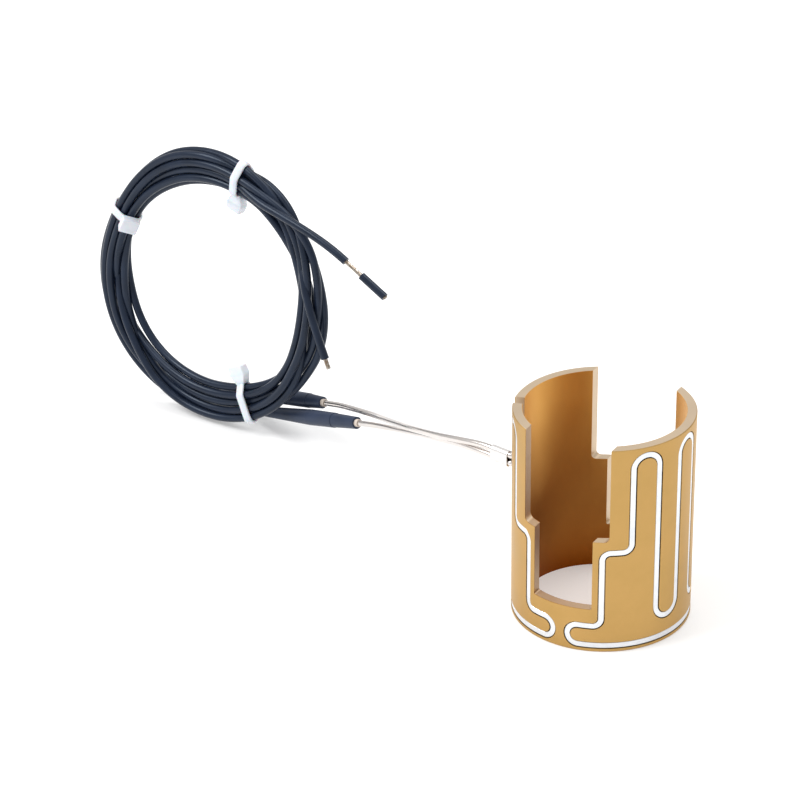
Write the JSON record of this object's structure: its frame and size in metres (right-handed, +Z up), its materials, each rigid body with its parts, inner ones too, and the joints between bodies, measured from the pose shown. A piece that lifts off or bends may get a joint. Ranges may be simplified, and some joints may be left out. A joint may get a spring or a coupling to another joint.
{
  "type": "hot runner nozzle heater",
  "caption": "Brass sleeve heater for a hot runner nozzle, with a serpentine sheathed element in its groove, a stepped slot through both walls and coiled, tied leads.",
  "frame": {"origin": "on the bore's axis, at the sleeve's base", "axes": "+Z up the bore's axis, the stepped slot through both walls along Y, and the cold ends leave the sleeve towards -X"},
  "size_m": [0.2258, 0.0828, 0.0886],
  "materials": {
    "brass": "satin",
    "sheath_steel": "satin",
    "band_metal": "satin",
    "boot_sleeving": "satin",
    "lead_insulation": "satin",
    "tinned_copper": "bright",
    "nickel": "satin",
    "seal_resin": "matt",
    "tie_nylon": "satin"
  },
  "bodies": {
    "root": {"sleeve": "brass", "heating_element": "sheath_steel", "cold_end_band": "band_metal", "boot_a": "boot_sleeving", "boot_b": "boot_sleeving", "end_seal_a": "seal_resin", "end_seal_b": "seal_resin", "terminal_pin_a": "nickel", "terminal_pin_b": "nickel", "crimp_a": "nickel", "crimp_b": "nickel", "lead_coil": "lead_insulation", "lead_a_start": "lead_insulation", "lead_b_start": "lead_insulation", "lead_a_tail": "lead_insulation", "lead_b_tail": "lead_insulation", "conductor_a": "tinned_copper", "conductor_b": "tinned_copper", "insulation_slug": "lead_insulation", "tie_top": "tie_nylon", "tie_left": "tie_nylon", "tie_bottom": "tie_nylon"}
  },
  "joints": []
}
